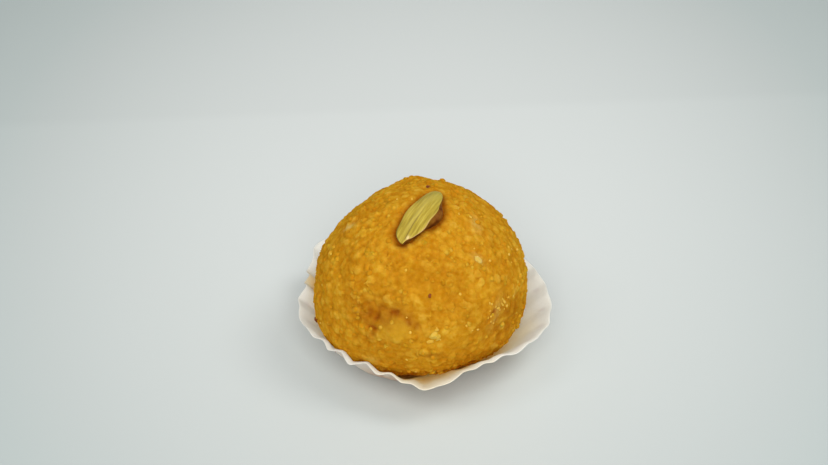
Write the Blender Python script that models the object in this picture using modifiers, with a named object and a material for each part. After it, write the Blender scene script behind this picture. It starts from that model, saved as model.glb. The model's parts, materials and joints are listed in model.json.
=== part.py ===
"""A boondi ladoo in its fluted paper case, with half a pistachio kernel pressed into its top.

Metres, +Z up. The origin is the centre of the underside of the paper case, which the sweet stands on.
The front of the sweet is -Y. A bearing is measured round Z from +X, as a compass on the table would be.
"""

import math

import bmesh
import bpy
from mathutils import Matrix, Vector, noise

MM = 0.001

# The sweet: a hand-rolled ball that has sagged on to a flat foot.
LADOO_HALF_WIDTH = 23.5 * MM
LADOO_CROWN_HEIGHT = 22.6 * MM  # from its widest level up to the top
LADOO_BELLY_DEPTH = 19.4 * MM  # the same downwards, were it not flattened
LADOO_FOOT_RADIUS = 10.0 * MM
LADOO_OFF_CENTRE = Vector((-0.4 * MM, 0.2 * MM, 0.0))
LADOO_SUBDIVISIONS = 5
LUMP_HEIGHT = 0.45 * MM
LUMPS_ROUND = 2.6  # how many lumps there are in one radius
LUMP_PLACE = Vector((4.1, 7.3, 2.6))  # which stretch of the noise the lumps are read from

# Single swellings (+) and dents (-): latitude, longitude from the front, spread in degrees, height.
SWELLINGS = (
    (25.0, -23.0, 11.0, -0.9 * MM),  # the hollow above the buried raisin
    (12.0, -15.5, 8.0, 1.0 * MM),  # the buried raisin
    (37.0, -128.0, 29.0, -1.5 * MM),  # a flat shoulder at the back left
    (38.0, 100.0, 26.0, -0.3 * MM),  # a flatter one on the right
    (49.0, -172.0, 8.0, 1.1 * MM),  # a crest behind the kernel
    (0.0, 46.0, 9.0, -0.5 * MM),  # a shallow dent low on the right
    (-24.0, 64.0, 18.0, 0.6 * MM),  # a full belly below it
    (-18.0, -68.0, 16.0, 1.1 * MM),  # a full belly low on the left
    (-34.0, -45.0, 15.0, -0.3 * MM),  # where the paper leans against it
)

# The half kernel, cut face up.
KERNEL_LENGTH = 16.6 * MM
KERNEL_WIDTH = 7.3 * MM
KERNEL_DEPTH = 3.3 * MM  # from its widest level down to the keel of its back
KERNEL_CUT_ABOVE = 0.85 * MM  # the cut face above the widest level
KERNEL_CROWN = 0.25 * MM  # how far the cut face is domed
KERNEL_BEND = 0.7 * MM  # how far its two ends droop
KERNEL_TIP_TAPER = 0.22  # how much slimmer the pointed end is than an oval's
KERNEL_SEGMENTS = 20
KERNEL_RINGS = 16
KERNEL_LATITUDE = 78.6
KERNEL_LONGITUDE = -2.8
KERNEL_BEARING = 61.5  # which way its blunt end points
KERNEL_PROUD = 0.85 * MM  # the middle of the cut face above the surface of the sweet
KERNEL_TILT = 12.0  # degrees that its right side is raised

# The paper case: a flat disc of paper, pressed into pleats round a flat bottom.
CASE_BOTTOM_RADIUS = 14.8 * MM
CASE_WALL = 18.0 * MM  # along the slope, from the bottom's crease to the rim
CASE_THICKNESS = 0.3 * MM
CASE_PLEATS = 28
CASE_STEPS_A_PLEAT = 6
CASE_BOTTOM_RINGS = 2
CASE_WALL_RINGS = 4
CASE_SLOPE = 38.5  # degrees above the table at half its height, apart from the leans below
CASE_CURL = 2.0  # degrees that the rim is steeper than that, and the foot less steep
# Where the wall stands up more or lies flatter: bearing, extra slope, spread, all in degrees.
CASE_LEANS = (
    (-133.0, 15.0, 36.0),
    (-89.0, -5.0, 9.0),
    (-55.0, 13.5, 32.0),
    (75.0, 5.0, 30.0),
    (168.0, 8.0, 12.0),
)
# Where the wall curls round the sweet: bearing, extra curl, spread, all in degrees.
CASE_CURLS = ((-130.0, 11.0, 34.0), (-58.0, 4.0, 26.0))
# Where the pleats have been pressed flatter: bearing, share of their depth that is lost, spread.
CASE_PRESSED = (-95.0, 0.62, 75.0)
# Where the sheet was cut wide or narrow, so that the wall is taller or lower: bearing, extra height, spread.
CASE_CUTS = ((140.0, 4.0 * MM, 11.0), (-122.0, -1.6 * MM, 38.0))

GAP = 0.3 * MM  # left between pieces that touch

LADOO_CENTRE = LADOO_OFF_CENTRE + Vector(
    (
        0.0,
        0.0,
        CASE_THICKNESS
        + GAP
        + LADOO_BELLY_DEPTH * math.sqrt(1.0 - (LADOO_FOOT_RADIUS / LADOO_HALF_WIDTH) ** 2),
    )
)


def clear_scene():
    for thing in list(bpy.data.objects):
        bpy.data.objects.remove(thing)


def new_collection(name):
    collection = bpy.data.collections.new(name)
    bpy.context.scene.collection.children.link(collection)
    return collection


def new_material(name, colour, roughness):
    made = bpy.data.materials.new(name)
    made.use_nodes = True
    shader = made.node_tree.nodes["Principled BSDF"]
    shader.inputs["Base Color"].default_value = (*colour, 1.0)
    shader.inputs["Roughness"].default_value = roughness
    shader.inputs["Metallic"].default_value = 0.0
    return made


def new_object(name, mesh, collection, material=None):
    thing = bpy.data.objects.new(name, mesh)
    collection.objects.link(thing)
    if material:
        mesh.materials.append(material)
    return thing


def take_primitive(name, collection, material):
    """The primitive that was just added, named and moved to its collection."""
    thing = bpy.context.active_object
    thing.name = name
    thing.data.name = name
    for holder in list(thing.users_collection):
        holder.objects.unlink(thing)
    collection.objects.link(thing)
    thing.data.materials.append(material)
    return thing


def bell(distance, spread):
    """1 at no distance, falling smoothly to nothing over about two spreads."""
    return math.exp(-((distance / spread) ** 2))


# The sweet


def direction_at(latitude, longitude):
    """The unit vector at a latitude and a longitude, which is 0 at the front and grows to the right."""
    up, round_z = math.radians(latitude), math.radians(longitude)
    return Vector(
        (
            math.cos(up) * math.sin(round_z),
            -math.cos(up) * math.cos(round_z),
            math.sin(up),
        )
    )


def swelling_at(direction):
    lumps = LUMP_HEIGHT * noise.noise(direction * LUMPS_ROUND + LUMP_PLACE)
    for latitude, longitude, spread, height in SWELLINGS:
        away = math.degrees(direction.angle(direction_at(latitude, longitude)))
        lumps += height * bell(away, spread)
    return lumps


def ladoo_point(direction):
    """Where the surface of the ball lies in a direction from its centre, before its foot is flattened."""
    half_height = LADOO_CROWN_HEIGHT if direction.z > 0.0 else LADOO_BELLY_DEPTH
    on_ball = Vector(
        (
            direction.x * LADOO_HALF_WIDTH,
            direction.y * LADOO_HALF_WIDTH,
            direction.z * half_height,
        )
    )
    return LADOO_CENTRE + on_ball + direction * swelling_at(direction)


def make_ladoo(collection, material, kernel_socket):
    bpy.ops.mesh.primitive_ico_sphere_add(subdivisions=LADOO_SUBDIVISIONS, radius=1.0)
    ladoo = take_primitive("ladoo", collection, material)
    foot = CASE_THICKNESS + GAP
    for vertex in ladoo.data.vertices:
        vertex.co = ladoo_point(vertex.co.normalized())
        vertex.co.z = max(vertex.co.z, foot)
    ladoo.data.shade_smooth()
    socket = ladoo.modifiers.new("kernel socket", "BOOLEAN")
    socket.operation = "DIFFERENCE"
    socket.object = kernel_socket
    return ladoo


# The half kernel


def kernel_point(on_ball):
    """Where a point of a unit ball goes in the kernel's own frame: x to the blunt end, z out of the cut face."""
    along = on_ball.x
    slimmer = 1.0 - KERNEL_TIP_TAPER * ((1.0 - along) / 2.0) ** 3
    across = on_ball.y * slimmer * KERNEL_WIDTH / 2.0
    ring = math.hypot(on_ball.y, on_ball.z) * slimmer
    cut = KERNEL_CUT_ABOVE * ring
    height = min(on_ball.z * slimmer * KERNEL_DEPTH, cut)
    if height == cut and ring > 0.0:
        beside = across / (KERNEL_WIDTH / 2.0 * ring)
        height += KERNEL_CROWN * ring * (1.0 - beside**2)
    return Vector(
        (
            along * KERNEL_LENGTH / 2.0,
            across,
            height - KERNEL_CUT_ABOVE - KERNEL_BEND * along**2,
        )
    )


def kernel_place():
    """The matrix that lays the kernel on top of the sweet."""
    direction = direction_at(KERNEL_LATITUDE, KERNEL_LONGITUDE)
    out = Vector(
        (
            direction.x / LADOO_HALF_WIDTH,
            direction.y / LADOO_HALF_WIDTH,
            direction.z / LADOO_CROWN_HEIGHT,
        )
    ).normalized()
    turn = math.radians(KERNEL_BEARING)
    heading = Vector((math.cos(turn), math.sin(turn), 0.0))
    along = (heading - out * heading.dot(out)).normalized()
    place = Matrix((along, out.cross(along), out)).transposed().to_4x4()
    place.translation = ladoo_point(direction) + out * KERNEL_PROUD
    return place @ Matrix.Rotation(math.radians(-KERNEL_TILT), 4, "X")


def make_kernel(collection, material):
    bpy.ops.mesh.primitive_uv_sphere_add(
        segments=KERNEL_SEGMENTS, ring_count=KERNEL_RINGS, radius=1.0
    )
    kernel = take_primitive("pistachio_half", collection, material)
    poles_to_x = Matrix.Rotation(math.radians(90.0), 3, "Y")
    for vertex in kernel.data.vertices:
        vertex.co = kernel_point(poles_to_x @ vertex.co)
    kernel.data.shade_smooth()
    kernel.matrix_world = kernel_place()
    return kernel


def make_socket_cutter(kernel, collection):
    """The kernel again, fatter by the gap all over, as the tool that presses its socket."""
    cutter = new_object("kernel_socket_cutter", kernel.data.copy(), collection)
    cutter.matrix_world = kernel.matrix_world
    fatter = cutter.modifiers.new("gap", "DISPLACE")
    fatter.strength = GAP
    fatter.mid_level = 0.0
    cutter.hide_render = True
    cutter.display_type = "WIRE"
    return cutter


# The paper case


def degrees_between(bearing, degrees):
    return (math.degrees(bearing) - degrees + 180.0) % 360.0 - 180.0


def with_extras(usual, extras, bearing):
    """An angle in radians, from its usual degrees and what each place near this bearing adds to them."""
    for at, extra, spread in extras:
        usual += extra * bell(degrees_between(bearing, at), spread)
    return math.radians(usual)


def stretch_at(bearing):
    """How many times its usual length the wall has at a bearing."""
    extra_height = 0.0
    for at, extra, spread in CASE_CUTS:
        extra_height += extra * bell(degrees_between(bearing, at), spread)
    return 1.0 + extra_height / CASE_WALL


def uneven_bearing(bearing):
    """Pressed pleats aren't quite evenly spaced round the case."""
    return bearing + 0.035 * math.sin(3.0 * bearing + 0.6) + 0.02 * math.sin(8.0 * bearing + 4.3)


def wall_profile(up_wall, bearing):
    """The wall without its pleats: the radius and height of a point of it, and its slope there."""
    slope = with_extras(CASE_SLOPE, CASE_LEANS, bearing)
    curl = with_extras(CASE_CURL, CASE_CURLS, bearing)
    foot = slope - curl
    bend = 2.0 * curl / CASE_WALL
    here = foot + bend * up_wall
    radius = CASE_BOTTOM_RADIUS + (math.sin(here) - math.sin(foot)) / bend
    return radius, (math.cos(foot) - math.cos(here)) / bend, here


def pleat_depth(up_wall, radius):
    """Half the depth of a pleat: what folds the flat paper's longer edge into the wall's shorter one."""
    spare = (CASE_BOTTOM_RADIUS + up_wall) / radius
    quarter_pitch = 2.0 * math.pi * radius / CASE_PLEATS / 4.0
    return quarter_pitch * math.tan(math.acos(1.0 / spare))


def pressed_at(bearing):
    """The share of their full depth that the pleats keep at a bearing."""
    at, lost, spread = CASE_PRESSED
    return 1.0 - lost * bell(degrees_between(bearing, at), spread)


def rounded_fold(phase):
    """A zigzag between -1 and 1 with rounded tops."""
    sharpness = 0.93
    return math.asin(sharpness * math.sin(phase)) / math.asin(sharpness)


def fold_paper(flat):
    """Where a point of the flat disc of paper goes in the pressed case."""
    distance, pleat = math.hypot(flat.x, flat.y), math.atan2(flat.y, flat.x)
    bearing = uneven_bearing(pleat)
    outward = Vector((math.cos(bearing), math.sin(bearing), 0.0))
    if distance <= CASE_BOTTOM_RADIUS:
        return outward * distance
    up_wall = (distance - CASE_BOTTOM_RADIUS) * stretch_at(bearing)
    radius, height, slope = wall_profile(up_wall, bearing)
    on_wall = outward * radius + Vector((0.0, 0.0, height))
    out_of_wall = outward * math.sin(slope) - Vector((0.0, 0.0, math.cos(slope)))
    depth = pleat_depth(up_wall, radius) * pressed_at(bearing)
    return on_wall + out_of_wall * depth * rounded_fold(CASE_PLEATS * pleat)


def make_paper_disc():
    """The flat sheet of paper as rings, turned from a straight profile."""
    bottom = [CASE_BOTTOM_RADIUS * i / CASE_BOTTOM_RINGS for i in range(CASE_BOTTOM_RINGS + 1)]
    wall = [
        CASE_BOTTOM_RADIUS + CASE_WALL * i / CASE_WALL_RINGS
        for i in range(1, CASE_WALL_RINGS + 1)
    ]
    radii = bottom + wall
    profile = bpy.data.meshes.new("paper profile")
    edges = [(i, i + 1) for i in range(len(radii) - 1)]
    profile.from_pydata([(radius, 0.0, 0.0) for radius in radii], edges, [])
    turned = new_object("paper disc", profile, bpy.context.scene.collection)
    screw = turned.modifiers.new("turn", "SCREW")
    screw.steps = screw.render_steps = CASE_PLEATS * CASE_STEPS_A_PLEAT
    screw.use_merge_vertices = True
    screw.merge_threshold = 0.00001
    bpy.context.view_layer.update()
    evaluated = turned.evaluated_get(bpy.context.evaluated_depsgraph_get())
    disc = bpy.data.meshes.new_from_object(evaluated)
    bpy.data.objects.remove(turned)
    return disc


def face_upwards(mesh):
    shape = bmesh.new()
    shape.from_mesh(mesh)
    down = [face for face in shape.faces if face.normal.z < 0.0]
    bmesh.ops.reverse_faces(shape, faces=down)
    shape.to_mesh(mesh)
    shape.free()


def make_paper_case(collection, material):
    paper = make_paper_disc()
    face_upwards(paper)
    for vertex in paper.vertices:
        vertex.co = fold_paper(vertex.co)
    paper.update()
    case = new_object("paper_case", paper, collection, material)
    wall = case.modifiers.new("paper thickness", "SOLIDIFY")
    wall.thickness = CASE_THICKNESS
    wall.offset = 1.0
    return case


def main():
    clear_scene()
    parts = new_collection("boondi ladoo")
    cutters = new_collection("cutters")
    cutters.hide_render = True
    orange = new_material("fried gram pearls", (0.60, 0.26, 0.012), 0.45)
    green = new_material("pistachio flesh", (0.50, 0.36, 0.055), 0.5)
    white = new_material("case paper", (0.78, 0.75, 0.69), 0.7)
    kernel = make_kernel(parts, green)
    socket = make_socket_cutter(kernel, cutters)
    make_ladoo(parts, orange, socket)
    make_paper_case(parts, white)


main()
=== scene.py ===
"""The looks of a boondi ladoo that stands in a fluted paper case, with half a pistachio kernel on top.

Metres, +Z up. The origin is the centre of the underside of the case, and the front is -Y.
A place on the ball is a latitude and a longitude: longitude 0 is the front and 90 the right.
A bearing is measured round Z from +X. Angles and their spreads are in degrees in the tables.
"""

import json
import math
import random

import bmesh
import bpy
from mathutils import Matrix, Vector, noise
from mathutils.bvhtree import BVHTree

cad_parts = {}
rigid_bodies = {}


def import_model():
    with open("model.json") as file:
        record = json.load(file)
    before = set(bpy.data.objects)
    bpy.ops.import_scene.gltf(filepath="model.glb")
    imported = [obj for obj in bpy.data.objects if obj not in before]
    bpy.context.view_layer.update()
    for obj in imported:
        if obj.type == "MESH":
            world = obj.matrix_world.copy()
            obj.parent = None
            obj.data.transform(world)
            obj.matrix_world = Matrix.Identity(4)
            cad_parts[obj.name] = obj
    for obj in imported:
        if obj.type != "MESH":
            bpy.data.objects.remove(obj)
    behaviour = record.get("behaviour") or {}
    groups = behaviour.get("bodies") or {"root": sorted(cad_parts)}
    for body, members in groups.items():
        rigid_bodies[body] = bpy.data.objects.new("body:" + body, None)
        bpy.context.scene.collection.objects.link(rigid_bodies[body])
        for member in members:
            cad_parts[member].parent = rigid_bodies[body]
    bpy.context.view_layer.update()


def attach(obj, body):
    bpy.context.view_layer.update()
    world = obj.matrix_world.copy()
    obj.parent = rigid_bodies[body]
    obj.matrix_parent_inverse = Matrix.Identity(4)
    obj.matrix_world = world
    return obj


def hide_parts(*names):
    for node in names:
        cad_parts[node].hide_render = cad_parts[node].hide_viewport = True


for thing in list(bpy.data.objects):
    bpy.data.objects.remove(thing)
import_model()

MM = 0.001

# The ball of pressed gram pearls, with broad lumps all over and a flat foot.
BALL_HALF_WIDTH = 23.5 * MM
BALL_CROWN_HEIGHT = 22.6 * MM
BALL_BELLY_DEPTH = 19.4 * MM
BALL_CENTRE = Vector((-0.4 * MM, 0.2 * MM, 18.155 * MM))
BALL_FOOT = 0.45 * MM
PEARLS_START = BALL_FOOT + 0.3 * MM
BROAD_LUMP = 0.45 * MM
BROAD_LUMPS_ROUND = 2.6
BROAD_LUMP_PLACE = Vector((4.1, 7.3, 2.6))
# Swellings (+) and dents (-): latitude, longitude, spread, height.
SWELLINGS = (
    (25.0, -23.0, 11.0, -0.9 * MM),
    (12.0, -15.5, 8.0, 1.0 * MM),
    (37.0, -128.0, 29.0, -1.5 * MM),
    (38.0, 100.0, 26.0, -0.3 * MM),
    (49.0, -172.0, 8.0, 1.1 * MM),
    (0.0, 46.0, 9.0, -0.5 * MM),
    (-24.0, 64.0, 18.0, 0.6 * MM),
    (-18.0, -68.0, 16.0, 1.1 * MM),
    (-34.0, -45.0, 15.0, -0.3 * MM),
    (-44.0, 8.0, 22.0, -1.1 * MM),
    (-36.0, 44.0, 13.0, -0.45 * MM),
    (-3.0, 66.0, 10.0, -0.5 * MM),
    (52.6, 107.0, 7.0, -0.7 * MM),
)
# Where the soft ball has spread against the paper, which then holds it in: the same four, then its room.
SPREAD_ON_PAPER = (-30.0, -48.0, 30.0, 1.3 * MM)
PAPER_ROOM = 0.08 * MM
SMALL_LUMP = 0.32 * MM
SMALL_LUMP_ACROSS = 3.2 * MM
GRIT = 0.055 * MM
GRIT_ACROSS = 0.7 * MM
BALL_VOXEL = 0.25 * MM
BALL_FACES_KEPT = 0.63

# The pearls at its surface: their size, spacing and rise, and how softly one runs into the next.
PEARL_RADIUS = 0.86 * MM
PEARL_SMALLEST = 0.84
PEARL_SIZES_APART = 0.32
PEARL_PITCH = 1.44 * MM
PEARL_BLEND = 0.20 * MM
PEARL_BROADNESS = 1.6
PEARL_DEPTH_SEEN = 0.35
PEARLS_NUMBERED = 97.0
MIDDLE_OF_CELL = Vector((0.5, 0.5, 0.5))
PEARL_RISE = 0.46
PEARL_LEVEL = 0.66 * MM
# The heights between which a place on the ball changes from a gap into the crown of a pearl.
PEARL_GAP_TO_CROWN = (0.25 * MM, 1.05 * MM)
# How far the rows of pearls are bent out of line, in mm, the size of the bends, and their seed.
ROWS_BENT = 0.4
ROWS_BENT_ACROSS = 3.0 * MM
ROWS_SEED = 5
LOOSE_PEARLS = 380
LOOSE_LOWEST = -0.6
PEARL_SEED = 7
LOOSE_PEARL_RADII = (0.45 * MM, 0.85 * MM)
LOOSE_PEARL_SQUASH = (0.85, 1.12)
LOOSE_PEARL_SUNK = (0.35, 0.75)
LOST_IN_PASTE = 0.75

# Where pearls were squashed into paste: in patches, and under the palm (latitude, longitude, spread, share).
PASTE_PATCH_ACROSS = 8.0 * MM
PASTE_PATCH_PLACE = Vector((3.7, 1.1, 8.2))
PASTE_GROWS = (-0.25, 0.4)
PASTE_IN_PATCHES = 0.8
PASTE_UNDER_PALM = (20.0, 40.0, 32.0, 0.45)
FLATTER_IN_PASTE = 0.62
FLATTER_WHERE_SMOOTH = 0.8

# Long marks on the ball: latitude, longitude, half length, half width, turn, then depth and painted shade.
CREVICES = (
    (18.0, -25.0, 14.0, 8.0, 8.0, 0.25 * MM, 0.6),
    (21.8, -13.4, 3.4, 2.0, -20.0, 0.45 * MM, 0.6),
    (18.4, -4.8, 3.8, 2.6, -50.0, 0.45 * MM, 1.3),
    (9.8, -26.6, 3.2, 6.0, 0.0, 0.25 * MM, 0.5),
    (4.0, -18.0, 5.0, 1.8, 0.0, 0.18 * MM, 0.3),
    (-2.2, 4.8, 5.0, 1.6, -8.0, 0.28 * MM, 0.6),
    (13.0, 42.0, 4.0, 1.3, 30.0, 0.25 * MM, 0.6),
    (-18.5, -33.5, 2.6, 4.5, -20.0, 0.40 * MM, 1.0),
    (-20.9, -19.9, 5.0, 3.0, -30.0, 0.40 * MM, 1.0),
    (-28.0, -5.0, 9.0, 2.6, 0.0, 0.25 * MM, 0.8),
    (-41.0, 6.0, 24.0, 4.0, 0.0, 0.0, 0.6),
    (-24.5, 30.0, 24.0, 3.2, 0.0, 0.30 * MM, 0.95),
    (-18.3, -60.0, 2.0, 6.0, 30.0, 0.25 * MM, 0.6),
    (2.0, 52.0, 16.0, 14.0, 0.0, 0.0, 0.44),
)
CREVICE_RAGGED = 0.9
CREVICE_RAGGED_ACROSS = 1.3 * MM
# Smooth things just under the surface, a swollen raisin first: the same five numbers, then how smooth
# and how cream-coloured.
PALE_UNDER = (
    (14.0, -14.2, 7.4, 5.2, 4.0, 1.8, 0.0),
    (46.0, -85.0, 4.4, 1.9, 67.0, 0.8, 0.9),
    (57.0, 73.0, 5.0, 3.0, 20.0, 0.5, 0.55),
    (12.0, 45.0, 7.0, 3.0, 60.0, 0.2, 0.45),
    (43.5, 46.5, 3.6, 2.0, -70.0, 0.5, 0.6),
    (-11.0, -26.9, 3.6, 3.0, 0.0, 0.7, 0.25),
)

# The half kernel, cut face up, and where it sits on the ball.
KERNEL_LENGTH = 16.6 * MM
KERNEL_WIDTH = 7.3 * MM
KERNEL_DEPTH = 3.3 * MM
KERNEL_CUT_ABOVE = 0.85 * MM
KERNEL_CUT_RIM = 0.25
KERNEL_CROWN = 0.25 * MM
KERNEL_BEND = 0.7 * MM
KERNEL_SWEEP = 0.6 * MM
KERNEL_TIP_TAPER = 0.22
KERNEL_SHARP_EDGE = 32.0
KERNEL_LATITUDE = 78.6
KERNEL_LONGITUDE = -2.8
KERNEL_BEARING = 61.5
KERNEL_PROUD = 0.85 * MM
KERNEL_TILT = 12.0
# How full its sides are from -1 at the tip to 1 at the blunt end, as shares of half its width: all along,
# then more at each bulge (place, spread, extra), and more or less from some place on (start, end, extra).
KERNEL_LEFT_SIDE = (0.92, ((-0.86, 0.26, 0.42),), ((-0.2, 0.6, -0.20), (0.5, 1.0, -0.05)))
KERNEL_CUT_EDGE = (
    0.32,
    ((-0.5, 0.28, 0.30), (0.17, 0.34, 0.17)),
    ((-0.97, -0.75, 0.50), (0.4, 0.8, 0.15)),
)
KERNEL_FLANK = (-0.10, ((0.16, 0.34, 0.42),), ((-0.97, -0.75, 0.50), (-0.5, -0.1, 0.40)))
KERNEL_FLANK_BELOW = 1.1 * MM
# Lines along the cut face: how far left at the tip and at the blunt end, half width, and the shares of the
# length from the tip at which each starts, is full, fades and has ended.
KERNEL_RIDGE = (0.45 * MM, -0.05 * MM, 0.55 * MM, (0.05, 0.3, 0.75, 0.95))
KERNEL_RIDGE_HEIGHT = 0.12 * MM
KERNEL_GROOVE = (-0.15 * MM, -0.45 * MM, 0.16 * MM, (0.02, 0.08, 0.35, 0.62))
KERNEL_GROOVE_DEPTH = 0.16 * MM
# The flake beside the split tip: its place and spread along the kernel, and then to the left.
KERNEL_FLAKE = ((0.085, 0.03), (-0.7 * MM, 0.35 * MM))
KERNEL_FLAKE_HEIGHT = 0.10 * MM
# Round the kernel the ball is pushed in, painted with shade in a syrup colour, and raised as a low bank a
# little further out.
KERNEL_MOAT = 0.4 * MM
KERNEL_MOAT_REACH = 0.6 * MM
KERNEL_BANK = 0.2 * MM
KERNEL_BANK_AWAY = 2.0 * MM
KERNEL_BANK_SPREAD = 0.7 * MM
KERNEL_PAINTED_SHADE = 0.95
KERNEL_PAINTED_SHADE_REACH = 1.1 * MM
PEARLS_CLEAR_OF_KERNEL = 1.3 * MM
CRUMBS_CLEAR_OF_KERNEL = 0.8 * MM

# The paper case: a flat disc folded up round its bottom.
CASE_BOTTOM_RADIUS = 14.8 * MM
CASE_WALL = 18.0 * MM
CASE_PAPER = 0.13 * MM
CASE_PLEATS = 28
CASE_STEPS_A_PLEAT = 14
CASE_BOTTOM_RINGS = 6
CASE_WALL_RINGS = 26
CASE_RINGS_CLOSER_UP = 1.25
CASE_SLOPE = 38.5
CASE_CURL = 2.0
# Where the wall stands up more (+) or leans out more (-): bearing, extra, spread.
CASE_LEANS = (
    (-133.0, 15.0, 36.0),
    (-112.0, 3.2, 15.0),
    (-85.5, -4.2, 9.5),
    (-84.0, -7.2, 26.0),
    (-56.0, -1.4, 16.0),
    (-55.0, 13.5, 32.0),
    (75.0, 5.0, 30.0),
    (168.0, 8.0, 12.0),
)
# Where it curls up more (+) or outwards (-), was cut taller or shorter, and has its foot folded further in.
CASE_CURLS = ((-130.0, 11.0, 34.0), (-58.0, -2.0, 26.0), (-84.0, -8.0, 22.0))
CASE_CUTS = (
    (140.0, 3.2 * MM, 11.0),
    (-122.0, -1.6 * MM, 38.0),
    (-84.0, -0.6 * MM, 20.0),
    (-84.0, 1.9 * MM, 24.0),
    (-56.0, 0.3 * MM, 16.0),
)
CASE_FEET = ((-83.0, -3.6 * MM, 26.0), (-56.0, -0.7 * MM, 16.0))
# Where the pleats are pressed flatter: bearing, share of their depth that is lost, spread.
CASE_PRESSED = ((-80.0, 0.62, 60.0), (-50.0, 0.6, 32.0), (-2.0, 0.7, 38.0), (-161.0, 0.9, 22.0))
# Where shade, tinted by the ladoo's orange bounce, is painted further up the wall: bearing, how far up as a
# share of the wall, spread.
CASE_PAINTED_SHADE_UP = ((-30.0, 0.08, 24.0), (-90.0, 0.34, 30.0), (-58.0, 0.2, 16.0), (166.0, 0.60, 9.0))
# The pleats are unevenly spaced, in waves (how many round, start and size in radians), and not all as deep.
PLEATS_TURNED = -0.05
PLEAT_WAVES = ((3.0, 0.6, 0.035), (8.0, 4.3, 0.02))
PLEAT_DEPTHS_CHANGE = 3.0 * CASE_PLEATS / 6.28
PLEAT_SHALLOWEST = 0.85
PLEAT_DEPTHS_APART = 0.3
FOLD_SHARPNESS = 0.95
CRUMPLE = 0.35 * MM
CRUMPLE_ACROSS = 4.5 * MM
CRUMPLE_PLACE = Vector((1.3, 5.1, 2.2))
# The pressed lip along the rim, and where the rim turns out further: bearing, extra, spread.
CASE_LIP = 0.45 * MM
CASE_TURNED_OUT = ((-132.0, 1.5 * MM, 28.0), (-45.0, 0.8 * MM, 20.0))
# The shares of the wall between which each grows, and how far it goes out and drops for what it measures.
LIP_GROWS = (0.94, 1.06)
LIP_DROP = 0.5
TURNING_GROWS = (0.91, 1.03)
TURNING_OUT = 0.45
TURNING_DROP = 0.8
TURNING_UNEVEN = 0.2

# Single things on the ball: latitude, longitude, spin, then half length, width and thickness in mm.
PALE_CHIPS = (
    (42.8, 46.0, -79.0, 1.0, 0.6, 0.35),
    (20.0, 150.0, 70.0, 1.2, 0.9, 0.5),
    (-5.0, 118.0, 20.0, 1.0, 0.7, 0.45),
    (31.0, -160.0, 120.0, 1.1, 0.8, 0.5),
)
YELLOW_CHUNKS = (
    (10.9, 7.4, 40.0, 0.9, 0.7, 0.45),
    (9.2, 5.9, 0.0, 0.8, 0.6, 0.4),
    (9.3, 9.2, 60.0, 0.9, 0.55, 0.4),
    (7.0, 5.2, 0.0, 0.8, 0.4, 0.35),
    (13.6, 8.6, 20.0, 0.5, 0.35, 0.35),
    (-14.0, 170.0, 30.0, 1.2, 0.9, 0.7),
)
CARDAMOM_SPECKS = (
    (32.3, 5.5, 60.0, 0.5, 0.3, 0.25),
    (73.4, 166.6, 0.0, 0.6, 0.45, 0.3),
    (-12.0, -73.0, 70.0, 1.0, 0.6, 0.6),
    (25.0, 128.0, 40.0, 0.45, 0.3, 0.25),
    (40.0, -150.0, 15.0, 0.4, 0.3, 0.25),
    (2.0, -150.0, 75.0, 0.5, 0.3, 0.25),
)
# The roughness of a lump: the size and closeness of its waves.
LUMP_UNEVEN = ((0.35, 1.6), (0.12, 5.0))
# How far each kind is sunk, as a share of its half thickness.
LUMPS_SUNK = 0.4
SPECKS_SUNK = 0.1
CRUMBS_SUNK = 0.45
# Grains of set syrup, pale so that they also stand as painted glints: the latitude and longitude of those
# that catch the eye, how many more lie anywhere and how many in a crowd, and the crowd's middle with how far
# it strays from that.
CRUMBS_SEEN = (
    (13.7, 47.0), (12.4, 25.0), (8.9, 28.0), (28.0, 71.0), (34.0, 78.0), (22.0, 93.0),
    (20.0, -8.0), (12.5, -5.6), (68.0, 72.0), (45.0, -11.0), (30.0, -13.0), (14.4, 8.5),
    (11.0, 51.0), (9.0, 40.0), (15.5, 52.0), (31.7, 73.7), (30.6, 80.9), (26.0, 86.0),
    (30.4, 24.5), (8.0, 31.4),
)
CRUMB_SEED = 11
CRUMBS_ANYWHERE = 24
CRUMBS_IN_CROWD = 16
CROWD_LATITUDE, CROWD_LONGITUDE = (11.0, 4.5), (46.0, 9.0)
CRUMB_HALF_SIZES = (0.18 * MM, 0.42 * MM)

# Colours of the ball.
PEARL_DEEP = (0.452, 0.210, 0.0080)
PEARL_MIDDLE = (0.486, 0.252, 0.0130)
PEARL_LIGHT = (0.520, 0.294, 0.0230)
# The paste between the pearls, made darker to paint the shade in the gaps as well.
PASTE_AND_GAP_SHADE = (0.420, 0.180, 0.0060)
# The dark syrup colour in which shade is painted into the crevices and round the kernel.
PAINTED_SHADE_COLOUR = (0.225, 0.050, 0.0030)
RAISIN_UNDER = (0.475, 0.266, 0.0160)
CREAM_UNDER = (0.550, 0.365, 0.0850)
# What these are multiplied by in browner and paler patches, and in small blotches.
PATCH_BROWNER, PATCH_PALER = (0.90, 0.84, 0.70), (1.03, 1.03, 1.0)
BLOTCH_BROWNER, BLOTCH_PALER = (0.90, 0.83, 0.64), (1.07, 1.10, 1.5)
# The lowest part of the ball is deeper in colour by this much, below these heights.
DEEPER_LOW_DOWN = (1.02, 0.90, 0.70)
DEEPER_LOW_BELOW = 7.0 * MM
DEEPER_LOW_ENDS = 19.0 * MM

# Plain finishes: a darker and a lighter tone, how rough, and how many blotches a metre.
# The set syrup is pale so that its grains also stand as painted glints.
SET_SYRUP_AND_GLINTS = ((0.56, 0.29, 0.014), (0.64, 0.40, 0.060), 0.3, 900.0)
CASHEW = ((0.52, 0.34, 0.050), (0.60, 0.44, 0.13), 0.5, 900.0)
SYRUP_LUMP = ((0.50, 0.27, 0.010), (0.57, 0.36, 0.045), 0.3, 700.0)
CARDAMOM = ((0.13, 0.022, 0.002), (0.24, 0.055, 0.004), 0.5, 1500.0)
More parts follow.
